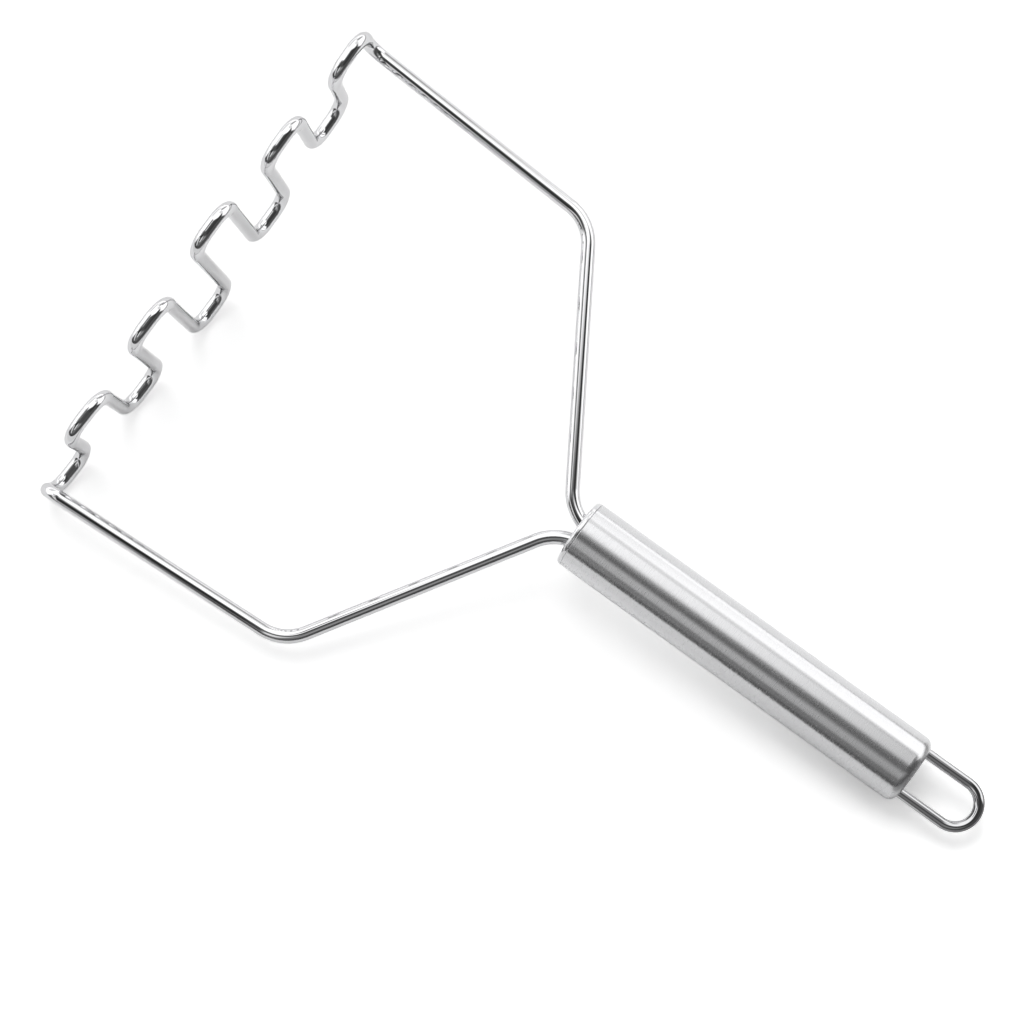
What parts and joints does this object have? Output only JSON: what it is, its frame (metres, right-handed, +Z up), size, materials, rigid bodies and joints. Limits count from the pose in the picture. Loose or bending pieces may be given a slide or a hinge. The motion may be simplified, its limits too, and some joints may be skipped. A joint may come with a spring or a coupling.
{
  "type": "potato masher",
  "caption": "Wire potato masher: a waved wire head on a five-sided wire frame, a brushed steel tube handle and a hanging loop.",
  "frame": {"origin": "on the table, under the middle of the masher as it lies on the lower bends of its head and the back edge of its handle", "axes": "+Y along the tool towards the head (longest), -Y to the hanging loop, +Z up from the table (shortest)"},
  "size_m": [0.1522, 0.2626, 0.059],
  "materials": {
    "polished_wire": "mirror-polished round stainless wire",
    "brushed_tube": "stainless tube, fine brushing round the handle",
    "pressed_cap": "pressed stainless, lightly polished",
    "weld_metal": "unpolished weld bead"
  },
  "bodies": {
    "root": {"masher_wire": "polished_wire", "hanging_loop": "polished_wire", "handle_tube": "brushed_tube", "front_cap": "pressed_cap", "front_weld": "weld_metal", "loop_weld_left": "weld_metal", "loop_weld_right": "weld_metal"}
  },
  "joints": []
}
